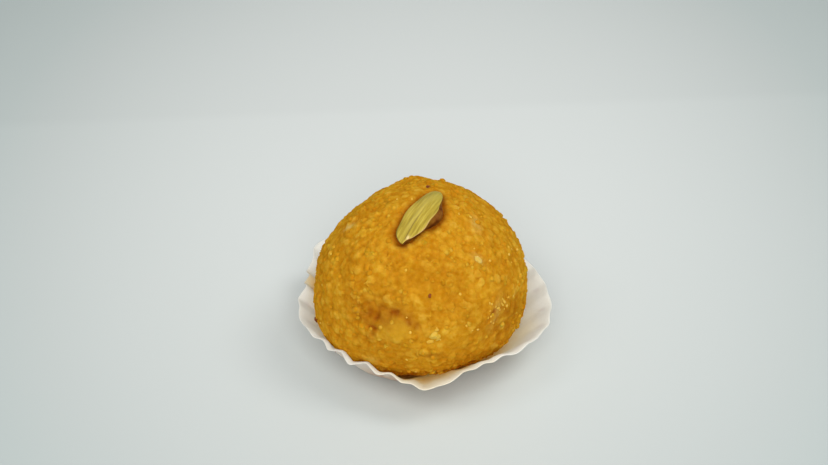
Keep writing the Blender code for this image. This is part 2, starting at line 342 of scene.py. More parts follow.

# Colours of the kernel. Its ridge is painted lighter as a highlight, and its groove and left rim darker as
# shade.
FLESH_DEEP = (0.270, 0.190, 0.016)
FLESH_MIDDLE = (0.380, 0.275, 0.028)
FLESH_LIGHT = (0.480, 0.365, 0.055)
FLESH_AT_BLUNT_END = (0.300, 0.262, 0.026)
FLESH_ON_RIDGE_PAINTED_LIT = (0.520, 0.410, 0.085)
FLESH_IN_GROOVE_PAINTED_SHADE = (0.130, 0.085, 0.008)
FLESH_ON_FLAKE = (0.66, 0.50, 0.20)
LEFT_RIM_PAINTED_SHADE = (0.080, 0.060, 0.008)
RIGHT_RIM = (0.50, 0.32, 0.12)
SKIN_DEEP = (0.100, 0.026, 0.004)
SKIN_MIDDLE = (0.190, 0.070, 0.008)
SKIN_LIGHT = (0.200, 0.100, 0.010)

# Colours of the case. Shade tinted by the ladoo's orange bounce is painted up the wall from its foot, warm
# higher up and deep low down, and little of it shows on the outside.
PAPER_DEEP = (0.925, 0.91, 0.855)
PAPER_LIGHT = (0.945, 0.935, 0.89)
PAPER_IN_WARM_PAINTED_SHADE = (0.95, 0.79, 0.46)
PAPER_IN_DEEP_PAINTED_SHADE = (0.93, 0.60, 0.18)
PAINTED_SHADE_SEEN_OUTSIDE = 0.15
PRINTED_DOTS = (0.40, 0.05, 0.08)
DOTS_UP_WALL = 0.86

# The table. The light falls off over it as an oval round a place, with these half sizes.
TABLE_COLOUR = (0.572, 0.600, 0.584)
TABLE_SIZE = 4.0
TABLE_TOP = -0.02 * MM
LIT_CENTRE = (0.0, 0.07)
LIT_HALF_SIZE = (0.095, 0.129)
# How many times the square of its half size the light fades over, and what it leaves of the table's colour.
LIGHT_FADES_OVER = 3.0
LIGHT_FADES = (
    (0.0, (1.0, 1.0, 1.0)),
    (0.37, (0.775, 0.80, 0.80)),
    (0.50, (0.70, 0.745, 0.745)),
    (0.70, (0.64, 0.69, 0.69)),
    (1.0, (0.59, 0.645, 0.64)),
)
# The table's far part is painted a little darker past a slanting line, as the shade where the backdrop bends
# up.
FAR_PART_FROM = 94.8 * MM
FAR_PART_TO = 95.8 * MM
FAR_PART_SLANT = 0.074
FAR_PART_PAINTED_SHADE = 0.03

# The room's light, and lamps: name, place, size across, power.
ROOM_LIGHT = 0.525
LAMPS = (
    ("right", (0.40, -0.05, 0.69), 0.32, 1.78),
    ("left front", (-0.40, -0.225, 0.655), 0.32, 0.80),
    ("front", (0.0, -0.79, 0.83), 0.8, 8.4),
    ("low front", (0.0, -0.95, 0.26), 0.8, 2.3),
)

CAMERA_PLACE = (-0.4 * MM, -274.8 * MM, 248.9 * MM)
CAMERA_LOOKS_DOWN = 38.275
CAMERA_TURNED = 0.325
CAMERA_LENS = 70.0
CAMERA_SENSOR = 36.0


# Shared helpers


def deselect_all():
    for thing in bpy.context.selected_objects:
        thing.select_set(False)


def select_only(thing):
    deselect_all()
    thing.select_set(True)
    bpy.context.view_layer.objects.active = thing


def take_new(name):
    """The primitive that was just added, under its own name."""
    thing = bpy.context.active_object
    thing.name = name
    thing.data.name = name
    return thing


def apply_modifiers(thing):
    select_only(thing)
    for modifier in list(thing.modifiers):
        bpy.ops.object.modifier_apply(modifier=modifier.name)


def bell(distance, spread):
    """1 at no distance, falling evenly to nothing within about twice the spread."""
    return math.exp(-((distance / spread) ** 2))


def step_up(low, high, value):
    """0 below low, 1 above high, and a smooth rise from one to the other."""
    share = min(max((value - low) / (high - low), 0.0), 1.0)
    return share * share * (3.0 - 2.0 * share)


def keep_on_points(mesh, names, rows):
    """Keeps a row of numbers for each point of a mesh, under these names."""
    for name, values in zip(names, zip(*rows)):
        kept = mesh.attributes.new(name, "FLOAT", "POINT")
        kept.data.foreach_set("value", values)


def direction_at(latitude, longitude):
    up, round_z = math.radians(latitude), math.radians(longitude)
    return Vector((math.cos(up) * math.sin(round_z), -math.cos(up) * math.cos(round_z), math.sin(up)))


def degrees_off(direction, latitude, longitude):
    return math.degrees(direction.angle(direction_at(latitude, longitude)))


def surface_of(thing):
    return BVHTree.FromObject(thing, bpy.context.evaluated_depsgraph_get())


# The ball


def ball_point(direction):
    half_height = BALL_CROWN_HEIGHT if direction.z > 0.0 else BALL_BELLY_DEPTH
    lumps = BROAD_LUMP * noise.noise(direction * BROAD_LUMPS_ROUND + BROAD_LUMP_PLACE)
    for latitude, longitude, spread, height in SWELLINGS:
        lumps += height * bell(degrees_off(direction, latitude, longitude), spread)
    half_sizes = (BALL_HALF_WIDTH, BALL_HALF_WIDTH, half_height)
    on_ball = Vector([part * half for part, half in zip(direction, half_sizes)])
    return BALL_CENTRE + on_ball + direction * lumps


def long_mark(latitude, longitude, half_length, half_width, turn):
    """Where a long mark is, and its two axes, each over its half size: its middle is 0 along both."""
    up, round_z = math.radians(latitude), math.radians(longitude)
    east = Vector((math.cos(round_z), math.sin(round_z), 0.0))
    north = Vector((-math.sin(up) * math.sin(round_z), math.sin(up) * math.cos(round_z), math.cos(up)))
    turned = math.radians(turn)
    along = (east * math.cos(turned) + north * math.sin(turned)) / math.radians(half_length)
    across = (north * math.cos(turned) - east * math.sin(turned)) / math.radians(half_width)
    return direction_at(latitude, longitude), along, across


def in_mark(direction, mark):
    """1 in the middle of a long mark, falling to nothing past its ends."""
    centre, along, across = mark
    if direction.dot(centre) < 0.5:
        return 0.0
    return math.exp(-(direction.dot(along) ** 2) - direction.dot(across) ** 2)


def sums_in_marks(direction, rows, share=1.0):
    """The two amounts that end each row of long marks, added up as far as a direction is in each mark."""
    first, second = 0.0, 0.0
    for mark, one, other in rows:
        inside = in_mark(direction, mark) * share
        first += one * inside
        second += other * inside
    return first, second


def pearls_over(place, outward):
    """How far the pearls stand up over a place, and the number from 0 to 1 of the nearest one."""
    total, highest, number = 0.0, -1.0, 0.5
    for centre in noise.voronoi(place / PEARL_PITCH)[1]:
        own = noise.cell(centre * PEARLS_NUMBERED + MIDDLE_OF_CELL)
        radius = PEARL_RADIUS * (PEARL_SMALLEST + PEARL_SIZES_APART * own)
        away = centre * PEARL_PITCH - place
        depth = away.dot(outward)
        beside = away.length_squared - depth**2
        cap = PEARL_DEPTH_SEEN * depth + radius - beside / (PEARL_BROADNESS * radius)
        total += math.exp(cap / PEARL_BLEND)
        if cap > highest:
            highest, number = cap, own
    return PEARL_BLEND * math.log(total), number


def mashed_at(place, direction):
    """How far the pearls have been squashed into paste: 0 is not at all."""
    patches = noise.noise(place / PASTE_PATCH_ACROSS + PASTE_PATCH_PLACE)
    latitude, longitude, spread, share = PASTE_UNDER_PALM
    palm = share * bell(degrees_off(direction, latitude, longitude), spread)
    return min(step_up(*PASTE_GROWS, patches) * PASTE_IN_PATCHES + palm, 1.0)


def pushed_in_by_kernel(away):
    """How far the ball is pushed in near the kernel, less the bank that this raised."""
    bank = KERNEL_BANK * bell(away - KERNEL_BANK_AWAY, KERNEL_BANK_SPREAD)
    return KERNEL_MOAT * bell(away, KERNEL_MOAT_REACH) - bank


def press_pearls(mesh, kernel_surface):
    """Raises the pearls, sinks the crevices, and keeps on the points what the ball's colour depends on."""
    crevices = [(long_mark(*row[:5]), *row[5:]) for row in CREVICES]
    pale_marks = [(long_mark(*row[:5]), *row[5:]) for row in PALE_UNDER]
    noise.seed_set(ROWS_SEED)
    rows = []
    places = [vertex.co.copy() for vertex in mesh.vertices]
    outwards = [vertex.normal.copy() for vertex in mesh.vertices]
    for vertex, place, outward in zip(mesh.vertices, places, outwards):
        direction = (place - BALL_CENTRE).normalized()
        bent = noise.noise_vector(place / ROWS_BENT_ACROSS) * ROWS_BENT * MM
        height, number = pearls_over(place + bent, outward)
        smoothed, cream = sums_in_marks(direction, pale_marks)
        smoothed = min(smoothed, 1.0)
        pearly = 1.0 - FLATTER_IN_PASTE * mashed_at(place, direction)
        pearly *= 1.0 - FLATTER_WHERE_SMOOTH * smoothed
        rise = PEARL_RISE * pearly * (height - PEARL_LEVEL)
        lump = SMALL_LUMP * noise.noise(place / SMALL_LUMP_ACROSS) * (1.0 - smoothed)
        lump += GRIT * noise.noise(place / GRIT_ACROSS)
        ragged = 1.0 + CREVICE_RAGGED * noise.noise(place / CREVICE_RAGGED_ACROSS)
        # The crevices are sunk and painted with shade, which is kept as syrup. A ring round the kernel is
        # painted the same way.
        sunk, syrup = sums_in_marks(direction, crevices, ragged)
        from_kernel = kernel_surface.find_nearest(place)[3]
        sunk += pushed_in_by_kernel(from_kernel)
        syrup += KERNEL_PAINTED_SHADE * bell(from_kernel, KERNEL_PAINTED_SHADE_REACH)
        if place.z > PEARLS_START:
            vertex.co = place + outward * (rise + lump - sunk)
        crown = step_up(*PEARL_GAP_TO_CROWN, height)
        tint = 0.5 + (number - 0.5) * crown
        rows.append((crown, tint, min(syrup, 1.0), smoothed, min(cream, 1.0)))
    keep_on_points(mesh, ("crown", "tint", "syrup", "smoothed", "cream"), rows)


def hold_in(mesh, paper_surface):
    """Keeps the ball within the paper that it leans against."""
    for vertex in mesh.vertices:
        reach = (vertex.co - BALL_CENTRE).length
        outward = (vertex.co - BALL_CENTRE) / reach
        met = paper_surface.ray_cast(BALL_CENTRE, outward, reach + PAPER_ROOM)[3]
        if met is not None:
            vertex.co = BALL_CENTRE + outward * (met - PAPER_ROOM)


def make_ball(kernel_surface, paper_surface):
    bpy.ops.mesh.primitive_ico_sphere_add(subdivisions=6, radius=1.0)
    ball = take_new("ladoo_pearls")
    latitude, longitude, spread, height = SPREAD_ON_PAPER
    for vertex in ball.data.vertices:
        direction = vertex.co.normalized()
        share = bell(degrees_off(direction, latitude, longitude), spread)
        vertex.co = ball_point(direction) + direction * height * share
        vertex.co.z = max(vertex.co.z, BALL_FOOT)
    remesh = ball.modifiers.new("even faces", "REMESH")
    remesh.mode = "VOXEL"
    remesh.voxel_size = BALL_VOXEL
    smooth = ball.modifiers.new("no facets", "SMOOTH")
    smooth.factor = 0.5
    smooth.iterations = 8
    apply_modifiers(ball)
    press_pearls(ball.data, kernel_surface)
    hold_in(ball.data, paper_surface)
    lighten = ball.modifiers.new("fewer faces where it is smooth", "DECIMATE")
    lighten.ratio = BALL_FACES_KEPT
    apply_modifiers(ball)
    ball.data.shade_smooth()
    return ball


# The half kernel


def fullness(side, along):
    """How full a side of the kernel is at a place from -1 at its tip to 1 at its blunt end."""
    full, bulges, changes = side
    for place, spread, extra in bulges:
        full += extra * bell(along - place, spread)
    for start, end, extra in changes:
        full += extra * step_up(start, end, along)
    return full


def on_line(line, from_tip, across):
    """How much of a line that runs along the cut face there is at a place on it, from 0 to 1."""
    at_tip, at_blunt_end, half_width, (starts, full, fades, ends) = line
    shows = step_up(starts, full, from_tip) * (1.0 - step_up(fades, ends, from_tip))
    return shows * bell(across - at_tip - (at_blunt_end - at_tip) * from_tip, half_width)


def kernel_marks(from_tip, across):
    """How much of the ridge, the groove and the flake there is at a place on the cut face, from 0 to 1."""
    (flake_along, flake_length), (flake_across, flake_width) = KERNEL_FLAKE
    flake = bell(from_tip - flake_along, flake_length) * bell(across - flake_across, flake_width)
    return on_line(KERNEL_RIDGE, from_tip, across), on_line(KERNEL_GROOVE, from_tip, across), flake


def kernel_point(on_ball):
    """A point of a unit ball in the kernel's frame: x to its blunt end, y to its left, z out of its cut."""
    along = on_ball.x
    slimmer = 1.0 - KERNEL_TIP_TAPER * ((1.0 - along) / 2.0) ** 3
    across = on_ball.y * slimmer * KERNEL_WIDTH / 2.0
    ring = math.hypot(on_ball.y, on_ball.z) * slimmer
    cut = KERNEL_CUT_ABOVE * ring
    height = min(on_ball.z * slimmer * KERNEL_DEPTH, cut)
    if across > 0.0:
        across *= fullness(KERNEL_LEFT_SIDE, along)
    else:
        cut_edge, flank = fullness(KERNEL_CUT_EDGE, along), fullness(KERNEL_FLANK, along)
        across *= cut_edge + (flank - cut_edge) * step_up(0.0, KERNEL_FLANK_BELOW, cut - height)
    if height == cut and ring > 0.0:
        beside = on_ball.y * slimmer / ring
        height += KERNEL_CROWN * ring * (1.0 - beside**2)
        ridge, groove, flake = kernel_marks((along + 1.0) / 2.0, across)
        height += KERNEL_RIDGE_HEIGHT * ridge - KERNEL_GROOVE_DEPTH * groove
        height += KERNEL_FLAKE_HEIGHT * flake
    return Vector(
        (
            along * KERNEL_LENGTH / 2.0,
            across + KERNEL_SWEEP * max(along, 0.0) ** 2,
            height - KERNEL_CUT_ABOVE - KERNEL_BEND * along**2,
        )
    )


def kernel_place():
    """The matrix that lays the kernel on the ball, cut face out and blunt end towards its bearing."""
    direction = direction_at(KERNEL_LATITUDE, KERNEL_LONGITUDE)
    half_sizes = (BALL_HALF_WIDTH, BALL_HALF_WIDTH, BALL_CROWN_HEIGHT)
    out = Vector([part / half for part, half in zip(direction, half_sizes)]).normalized()
    turn = math.radians(KERNEL_BEARING)
    heading = Vector((math.cos(turn), math.sin(turn), 0.0))
    along = (heading - out * heading.dot(out)).normalized()
    place = Matrix((along, out.cross(along), out)).transposed().to_4x4()
    place.translation = ball_point(direction) + out * KERNEL_PROUD
    return place @ Matrix.Rotation(math.radians(-KERNEL_TILT), 4, "X")


def make_kernel():
    bpy.ops.mesh.primitive_uv_sphere_add(segments=144, ring_count=96, radius=1.0)
    kernel = take_new("pistachio_kernel")
    poles_to_x = Matrix.Rotation(math.radians(90.0), 3, "Y")
    place = kernel_place()
    rows = []
    for vertex in kernel.data.vertices:
        on_ball = poles_to_x @ vertex.co
        point = kernel_point(on_ball)
        around = math.hypot(on_ball.y, on_ball.z)
        from_tip = point.x / KERNEL_LENGTH + 0.5
        cut = 1.0 if on_ball.z > KERNEL_CUT_RIM * around else 0.0
        edge = on_ball.y / max(around, 0.01)
        marks = kernel_marks(from_tip, point.y)
        rows.append((cut, from_tip, point.y / KERNEL_WIDTH, edge, *marks))
        vertex.co = place @ point
    names = ("cut", "along", "across", "edge", "ridge", "groove", "flake")
    keep_on_points(kernel.data, names, rows)
    select_only(kernel)
    bpy.ops.object.shade_smooth_by_angle(angle=math.radians(KERNEL_SHARP_EDGE))
    return kernel


# The paper case, which is folded from its flat disc point by point


def degrees_between(bearing, degrees):
    return (math.degrees(bearing) - degrees + 180.0) % 360.0 - 180.0


def with_extras(usual, extras, bearing):
    for at, extra, spread in extras:
        usual += extra * bell(degrees_between(bearing, at), spread)
    return usual


def uneven_bearing(pleat):
    """The bearing to which a point of the disc moves as its unevenly spaced pleats are folded."""
    bearing = pleat + PLEATS_TURNED
    for waves, start, size in PLEAT_WAVES:
        bearing += size * math.sin(waves * pleat + start)
    return bearing


def wall_profile(up_wall, bearing):
    """The wall without pleats: how far out and up from its foot a point of it is, and its slope there."""
    slope = math.radians(with_extras(CASE_SLOPE, CASE_LEANS, bearing))
    curl = math.radians(with_extras(CASE_CURL, CASE_CURLS, bearing))
    start = slope - curl
    bend = 2.0 * curl / CASE_WALL
    here = start + bend * up_wall
    out = (math.sin(here) - math.sin(start)) / bend
    height = (math.cos(start) - math.cos(here)) / bend
    return out, height, here


def full_pleat_depth(up_wall, foot, radius):
    """How deep the pleats are where they take up all the paper that the folded wall has no room for."""
    spare = (foot + up_wall) / radius
    quarter_pitch = 2.0 * math.pi * radius / CASE_PLEATS / 4.0
    return quarter_pitch * math.tan(math.acos(1.0 / spare))


def pleat_depth_kept(bearing):
    """The share of their full depth that the pleats have at a bearing."""
    pressed = 1.0
    for at, lost, spread in CASE_PRESSED:
        pressed *= 1.0 - lost * bell(degrees_between(bearing, at), spread)
    uneven = noise.noise(Vector((PLEAT_DEPTHS_CHANGE * bearing, 0.0, 5.0)))
    return pressed * (PLEAT_SHALLOWEST + PLEAT_DEPTHS_APART * uneven)


def rounded_fold(phase):
    """A wave from -1 to 1 whose sides are nearly straight and whose folds are a little round."""
    return math.asin(FOLD_SHARPNESS * math.sin(phase)) / math.asin(FOLD_SHARPNESS)


def fold_paper(flat):
    """Where a point of the flat disc goes."""
    distance, pleat = math.hypot(flat.x, flat.y), math.atan2(flat.y, flat.x)
    bearing = uneven_bearing(pleat)
    outward = Vector((math.cos(bearing), math.sin(bearing), 0.0))
    foot = with_extras(CASE_BOTTOM_RADIUS, CASE_FEET, bearing)
    if distance <= CASE_BOTTOM_RADIUS:
        return outward * distance * foot / CASE_BOTTOM_RADIUS
    share_up = (distance - CASE_BOTTOM_RADIUS) / CASE_WALL
    up_wall = share_up * with_extras(CASE_WALL, CASE_CUTS, bearing)
    out, height, slope = wall_profile(up_wall, bearing)
    radius = foot + out
    in_fold = math.sin(CASE_PLEATS * pleat)
    turned_out = with_extras(0.0, CASE_TURNED_OUT, bearing) * step_up(*TURNING_GROWS, share_up)
    turned_out *= 1.0 - TURNING_UNEVEN * (1.0 - in_fold)
    lip = CASE_LIP * step_up(*LIP_GROWS, share_up)
    on_wall = outward * (radius + lip + TURNING_OUT * turned_out)
    on_wall.z = height - LIP_DROP * lip - TURNING_DROP * turned_out
    out_of_wall = outward * math.sin(slope) - Vector((0.0, 0.0, math.cos(slope)))
    depth = full_pleat_depth(up_wall, foot, radius) * pleat_depth_kept(bearing)
    crumple = CRUMPLE * share_up * noise.noise(on_wall / CRUMPLE_ACROSS + CRUMPLE_PLACE)
    return on_wall + out_of_wall * (depth * rounded_fold(CASE_PLEATS * pleat) + crumple)


def make_flat_disc():
    """The disc of paper before it is folded, in rings that come closer together towards its rim."""
    first = CASE_BOTTOM_RADIUS / CASE_BOTTOM_RINGS
    radii = [first * i for i in range(2, CASE_BOTTOM_RINGS + 1)]
    for i in range(1, CASE_WALL_RINGS + 1):
        share_up = 1.0 - (1.0 - i / CASE_WALL_RINGS) ** CASE_RINGS_CLOSER_UP
        radii.append(CASE_BOTTOM_RADIUS + CASE_WALL * share_up)
    steps = CASE_PLEATS * CASE_STEPS_A_PLEAT
    bpy.ops.mesh.primitive_circle_add(vertices=steps, radius=first, fill_type="TRIFAN")
    disc = take_new("paper_case_sheet")
    select_only(disc)
    bpy.ops.object.mode_set(mode="EDIT")
    bpy.ops.mesh.select_all(action="DESELECT")
    bpy.ops.mesh.select_mode(type="EDGE")
    bpy.ops.mesh.select_non_manifold()
    before = first
    for radius in radii:
        bpy.ops.mesh.extrude_edges_move()
        grown = radius / before
        bpy.ops.transform.resize(value=(grown, grown, 1.0), center_override=(0.0, 0.0, 0.0))
        before = radius
    bpy.ops.mesh.select_all(action="SELECT")
    bpy.ops.mesh.normals_make_consistent(inside=False)
    bpy.ops.object.mode_set(mode="OBJECT")
    if sum(face.normal.z for face in disc.data.polygons) < 0.0:
        disc.data.flip_normals()
    return disc


def make_case():
    """The folded disc, given its thickness. It has two materials: the inside's first, then the outside's."""
    case = make_flat_disc()
    rows = []
    for vertex in case.data.vertices:
        flat = vertex.co.copy()
        pleat = math.atan2(flat.y, flat.x)
        up_wall = (flat.length - CASE_BOTTOM_RADIUS) / CASE_WALL
        fold, fold_aside = math.sin(CASE_PLEATS * pleat), math.cos(CASE_PLEATS * pleat)
        rows.append((up_wall, fold, fold_aside, with_extras(0.0, CASE_PAINTED_SHADE_UP, pleat)))
        vertex.co = fold_paper(flat)
    keep_on_points(case.data, ("up_wall", "fold", "fold_aside", "painted_shade_up"), rows)
    case.data.shade_smooth()
    for _ in range(2):
        case.data.materials.append(None)
    thick = case.modifiers.new("paper thickness", "SOLIDIFY")
    thick.thickness = CASE_PAPER
    thick.offset = 1.0
    thick.material_offset = 1
    apply_modifiers(case)
    return case


# Loose things on the ball


def make_round_model():
    """A ball of two dozen faces, two across."""
    bpy.ops.mesh.primitive_cube_add(size=2.0)
    model = take_new("round model")
    rounded = model.modifiers.new("round", "SUBSURF")
    rounded.levels = rounded.render_levels = 1
    apply_modifiers(model)
    for vertex in model.data.vertices:
        vertex.co.normalize()
    return model


def make_lump_model():
    """A rough lump, two across."""
    bpy.ops.mesh.primitive_ico_sphere_add(subdivisions=4, radius=1.0)
    model = take_new("lump model")
    for vertex in model.data.vertices:
        uneven = 1.0
        for size, waves in LUMP_UNEVEN:
            uneven += size * noise.noise(vertex.co * waves)
        vertex.co *= uneven
    model.data.shade_smooth()
    return model


def scatter(name, model, places, numbers):
    """One mesh of a copy of the model at each place, with each copy's number kept as its tint."""
    joined = bmesh.new()
    tint = joined.verts.layers.float.new("tint")
    for place, number in zip(places, numbers):
        start = len(joined.verts)
        joined.from_mesh(model.data)
        joined.verts.ensure_lookup_table()
        for vertex in joined.verts[start:]:
            vertex.co = place @ vertex.co
            vertex[tint] = number
    mesh = bpy.data.meshes.new(name)
    joined.to_mesh(mesh)
    joined.free()
    made = bpy.data.objects.new(name, mesh)
    bpy.context.scene.collection.objects.link(made)
    return made


def scatter_round(name, places, numbers):
    model = make_round_model()
    grains = scatter(name, model, places, numbers)
    grains.data.shade_smooth()
    bpy.data.objects.remove(model)
    return grains


def on_surface(surface, direction):
    """Where the ball's finished surface lies in a direction, and its outward normal there."""
    outside = BALL_CENTRE + direction * 2.0 * BALL_HALF_WIDTH
    place, normal, _, _ = surface.ray_cast(outside, -direction)
    return place, normal


def random_direction(chance):
    up = chance.uniform(LOOSE_LOWEST, 1.0)
    turn = chance.uniform(-math.pi, math.pi)
    flat = math.sqrt(1.0 - up * up)
    return Vector((flat * math.cos(turn), flat * math.sin(turn), up))


def laid_on(place, normal, spin, size, sunk):
    """The matrix that lays a model flat on the surface, its length spin degrees up from the level."""
    level = Vector((0.0, 0.0, 1.0)).cross(normal).normalized()
    along = Matrix.Rotation(math.radians(spin), 3, normal) @ level
    stand = Matrix((along, normal.cross(along), normal)).transposed()
    return Matrix.LocRotScale(place - normal * size.z * sunk, stand, size)


def make_loose_pearls(surface, kernel_surface):
    """Single pearls that stand out of the ball, fewer where they were squashed into paste."""
    chance = random.Random(PEARL_SEED)
    places, numbers = [], []
    while len(places) < LOOSE_PEARLS:
        direction = random_direction(chance)
        place, normal = on_surface(surface, direction)
        radius = chance.uniform(*LOOSE_PEARL_RADII)
        size = Vector([radius * chance.uniform(*LOOSE_PEARL_SQUASH) for _ in range(3)])
        sunk = chance.uniform(*LOOSE_PEARL_SUNK)
        number = chance.random()
        spin = chance.uniform(0.0, 180.0)
        squashed = chance.random() < LOST_IN_PASTE * mashed_at(place, direction)
        if squashed or kernel_surface.find_nearest(place)[3] < PEARLS_CLEAR_OF_KERNEL:
            continue
        places.append(laid_on(place, normal, spin, size, sunk))
        numbers.append(number)
    return scatter_round("loose_pearls", places, numbers)


def make_crumbs(surface, kernel_surface):
    """Grains of set syrup, pale as painted glints, at the marked places, in a crowd and thinly over the
    rest.
    """
    chance = random.Random(CRUMB_SEED)
    directions = [direction_at(*place) for place in CRUMBS_SEEN]
    directions += [random_direction(chance) for _ in range(CRUMBS_ANYWHERE)]
    for _ in range(CRUMBS_IN_CROWD):
        latitude, longitude = chance.gauss(*CROWD_LATITUDE), chance.gauss(*CROWD_LONGITUDE)
        directions.append(direction_at(latitude, longitude))
    places, numbers = [], []
    for direction in directions:
        place, normal = on_surface(surface, direction)
        size = Vector([chance.uniform(*CRUMB_HALF_SIZES) for _ in range(3)])
        spin = chance.uniform(0.0, 180.0)
        number = chance.random()
        if kernel_surface.find_nearest(place)[3] < CRUMBS_CLEAR_OF_KERNEL:
            continue
        places.append(laid_on(place, normal, spin, size, CRUMBS_SUNK))
        numbers.append(number)
    return scatter_round("syrup_crumbs_as_glints", places, numbers)


def make_single_things(name, surface, rows, model, sunk):
    places = []
    for latitude, longitude, spin, length, width, thickness in rows:
        place, normal = on_surface(surface, direction_at(latitude, longitude))
        size = Vector((length, width, thickness)) * MM
        places.append(laid_on(place, normal, spin, size, sunk))
    return scatter(name, model, places, [0.5] * len(places))


# Materials


def new_material(name):
    made = bpy.data.materials.new(name)
    made.use_nodes = True
    return made, made.node_tree, made.node_tree.nodes["Principled BSDF"]


def fill(tree, socket, value):
    """Links a socket to another one's value, or sets it to a plain one."""
    if isinstance(value, bpy.types.NodeSocket):
        tree.links.new(value, socket)
    else:
        socket.default_value = value


def put(tree, kind, inputs=(), **settings):
    """A node with its settings, and its inputs either set or linked."""
    made = tree.nodes.new(kind)
    for setting, value in settings.items():
        setattr(made, setting, value)
    for name, value in dict(inputs).items():
        fill(tree, made.inputs[name], value)
    return made


def attribute(tree, name):
    return put(tree, "ShaderNodeAttribute", attribute_name=name).outputs["Fac"]


def object_place(tree):
    return put(tree, "ShaderNodeTexCoord").outputs["Object"]


def ramp(tree, value, stops):
    made = put(tree, "ShaderNodeValToRGB", {"Fac": value})
    elements = made.color_ramp.elements
    while len(elements) < len(stops):
        elements.new(0.5)
    for element, (position, colour) in zip(elements, stops):
        element.position = position
        element.color = (*colour, 1.0)
    return made.outputs["Color"]


def grey_ramp(tree, value, *stops):
    return ramp(tree, value, [(position, (level,) * 3) for position, level in stops])


def mix_colours(tree, share, first, second, blend="MIX"):
    made = put(tree, "ShaderNodeMix", data_type="RGBA", blend_type=blend)
    share_socket, first_socket, second_socket = made.inputs[0], made.inputs[6], made.inputs[7]
    fill(tree, share_socket, share)
    for socket, colour in ((first_socket, first), (second_socket, second)):
        plain = isinstance(colour, tuple)
        fill(tree, socket, (*colour, 1.0) if plain else colour)
    return made.outputs[2]


def math_of(tree, operation, first, second):
    made = put(tree, "ShaderNodeMath", operation=operation)
    for socket, value in zip(made.inputs, (first, second)):
        fill(tree, socket, value)
    return made.outputs["Value"]


def blotches(tree, a_metre, detail=2.0):
    """A value that wanders between 0 and 1 about so many times a metre."""
    inputs = {"Vector": object_place(tree), "Scale": a_metre, "Detail": detail}
    return put(tree, "ShaderNodeTexNoise", inputs).outputs["Fac"]


def bump(tree, height, distance):
    return put(tree, "ShaderNodeBump", {"Height": height, "Distance": distance}).outputs["Normal"]


def soften(shader, weight, radius, scale):
    """Lets light pass into the food and come out tinted a little way off."""
    shader.inputs["Subsurface Weight"].default_value = weight
    shader.inputs["Subsurface Radius"].default_value = radius
    shader.inputs["Subsurface Scale"].default_value = scale


def between_pearls(tree, colour):
    """The colour of pearls with the paste, the things just under the surface, and the shade painted in a
    syrup colour into the crevices and round the kernel.
    """
    # The gaps show the paste, darkened as painted shade.
    paste_and_shade_in_gaps = grey_ramp(tree, attribute(tree, "crown"), (0.0, 0.8), (0.8, 0.0))
    colour = mix_colours(tree, paste_and_shade_in_gaps, colour, PASTE_AND_GAP_SHADE)
    colour = mix_colours(tree, attribute(tree, "smoothed"), colour, RAISIN_UNDER)
    colour = mix_colours(tree, attribute(tree, "cream"), colour, CREAM_UNDER)
    # Painted shade in a syrup colour, in the crevices and round the kernel.
    shade_share = grey_ramp(tree, attribute(tree, "syrup"), (0.0, 0.0), (1.0, 0.9))
    return mix_colours(tree, shade_share, colour, PAINTED_SHADE_COLOUR)


def make_pearl_material(name, in_paste):
    made, tree, shader = new_material(name)
    tones = ((0.1, PEARL_DEEP), (0.5, PEARL_MIDDLE), (0.72, PEARL_MIDDLE), (0.98, PEARL_LIGHT))
    colour = ramp(tree, attribute(tree, "tint"), tones)
    blotchy = 1.0
    if in_paste:
        colour = between_pearls(tree, colour)
        blotchy = grey_ramp(tree, attribute(tree, "smoothed"), (0.3, 1.0), (1.0, 0.35))
    patches = ramp(tree, blotches(tree, 150.0), ((0.34, PATCH_BROWNER), (0.66, PATCH_PALER)))
    colour = mix_colours(tree, 1.0, colour, patches, "MULTIPLY")
    height = put(tree, "ShaderNodeSeparateXYZ", {"Vector": object_place(tree)}).outputs["Z"]
    low = grey_ramp(tree, height, (DEEPER_LOW_BELOW, 1.0), (DEEPER_LOW_ENDS, 0.0))
    colour = mix_colours(tree, low, colour, mix_colours(tree, 1.0, colour, DEEPER_LOW_DOWN, "MULTIPLY"))
    small = ramp(tree, blotches(tree, 1000.0, 3.0), ((0.34, BLOTCH_BROWNER), (0.66, BLOTCH_PALER)))
    colour = mix_colours(tree, blotchy, colour, small, "MULTIPLY")
    tree.links.new(colour, shader.inputs["Base Color"])
    tree.links.new(bump(tree, blotches(tree, 1800.0, 3.0), 0.15 * MM), shader.inputs["Normal"])
    moist = grey_ramp(tree, blotches(tree, 700.0), (0.4, 0.28), (0.62, 0.55))
    tree.links.new(moist, shader.inputs["Roughness"])
    shader.inputs["Specular IOR Level"].default_value = 0.0
    soften(shader, 0.5, (1.0, 0.45, 0.12), 1.3 * MM)
    return made


def make_plain_food_material(name, darker, lighter, roughness, blotches_a_metre):
    made, tree, shader = new_material(name)
    colour = ramp(tree, blotches(tree, blotches_a_metre, 3.0), ((0.35, darker), (0.65, lighter)))
    tree.links.new(colour, shader.inputs["Base Color"])
    shader.inputs["Roughness"].default_value = roughness
    shader.inputs["Specular IOR Level"].default_value = 0.15
    soften(shader, 0.3, (1.0, 0.7, 0.3), 0.6 * MM)
    return made


def kernel_streaks(tree):
    """Streaks that run along the kernel."""
    face = put(tree, "ShaderNodeCombineXYZ", {"X": attribute(tree, "along"), "Y": attribute(tree, "across")})
    stretch = {"Vector": face.outputs["Vector"], "Scale": (1.5, 5.5, 1.0)}
    stretched = put(tree, "ShaderNodeMapping", stretch).outputs["Vector"]
    return put(tree, "ShaderNodeTexNoise", {"Vector": stretched, "Scale": 2.1, "Detail": 5.0}).outputs["Fac"]


def kernel_rim(tree, from_middle, along, side, length):
    """A thin line inside one edge of the cut face, by two grey ramps: towards that edge and along it."""
    return math_of(
        tree, "MULTIPLY", grey_ramp(tree, from_middle, *side), grey_ramp(tree, along, *length)
    )


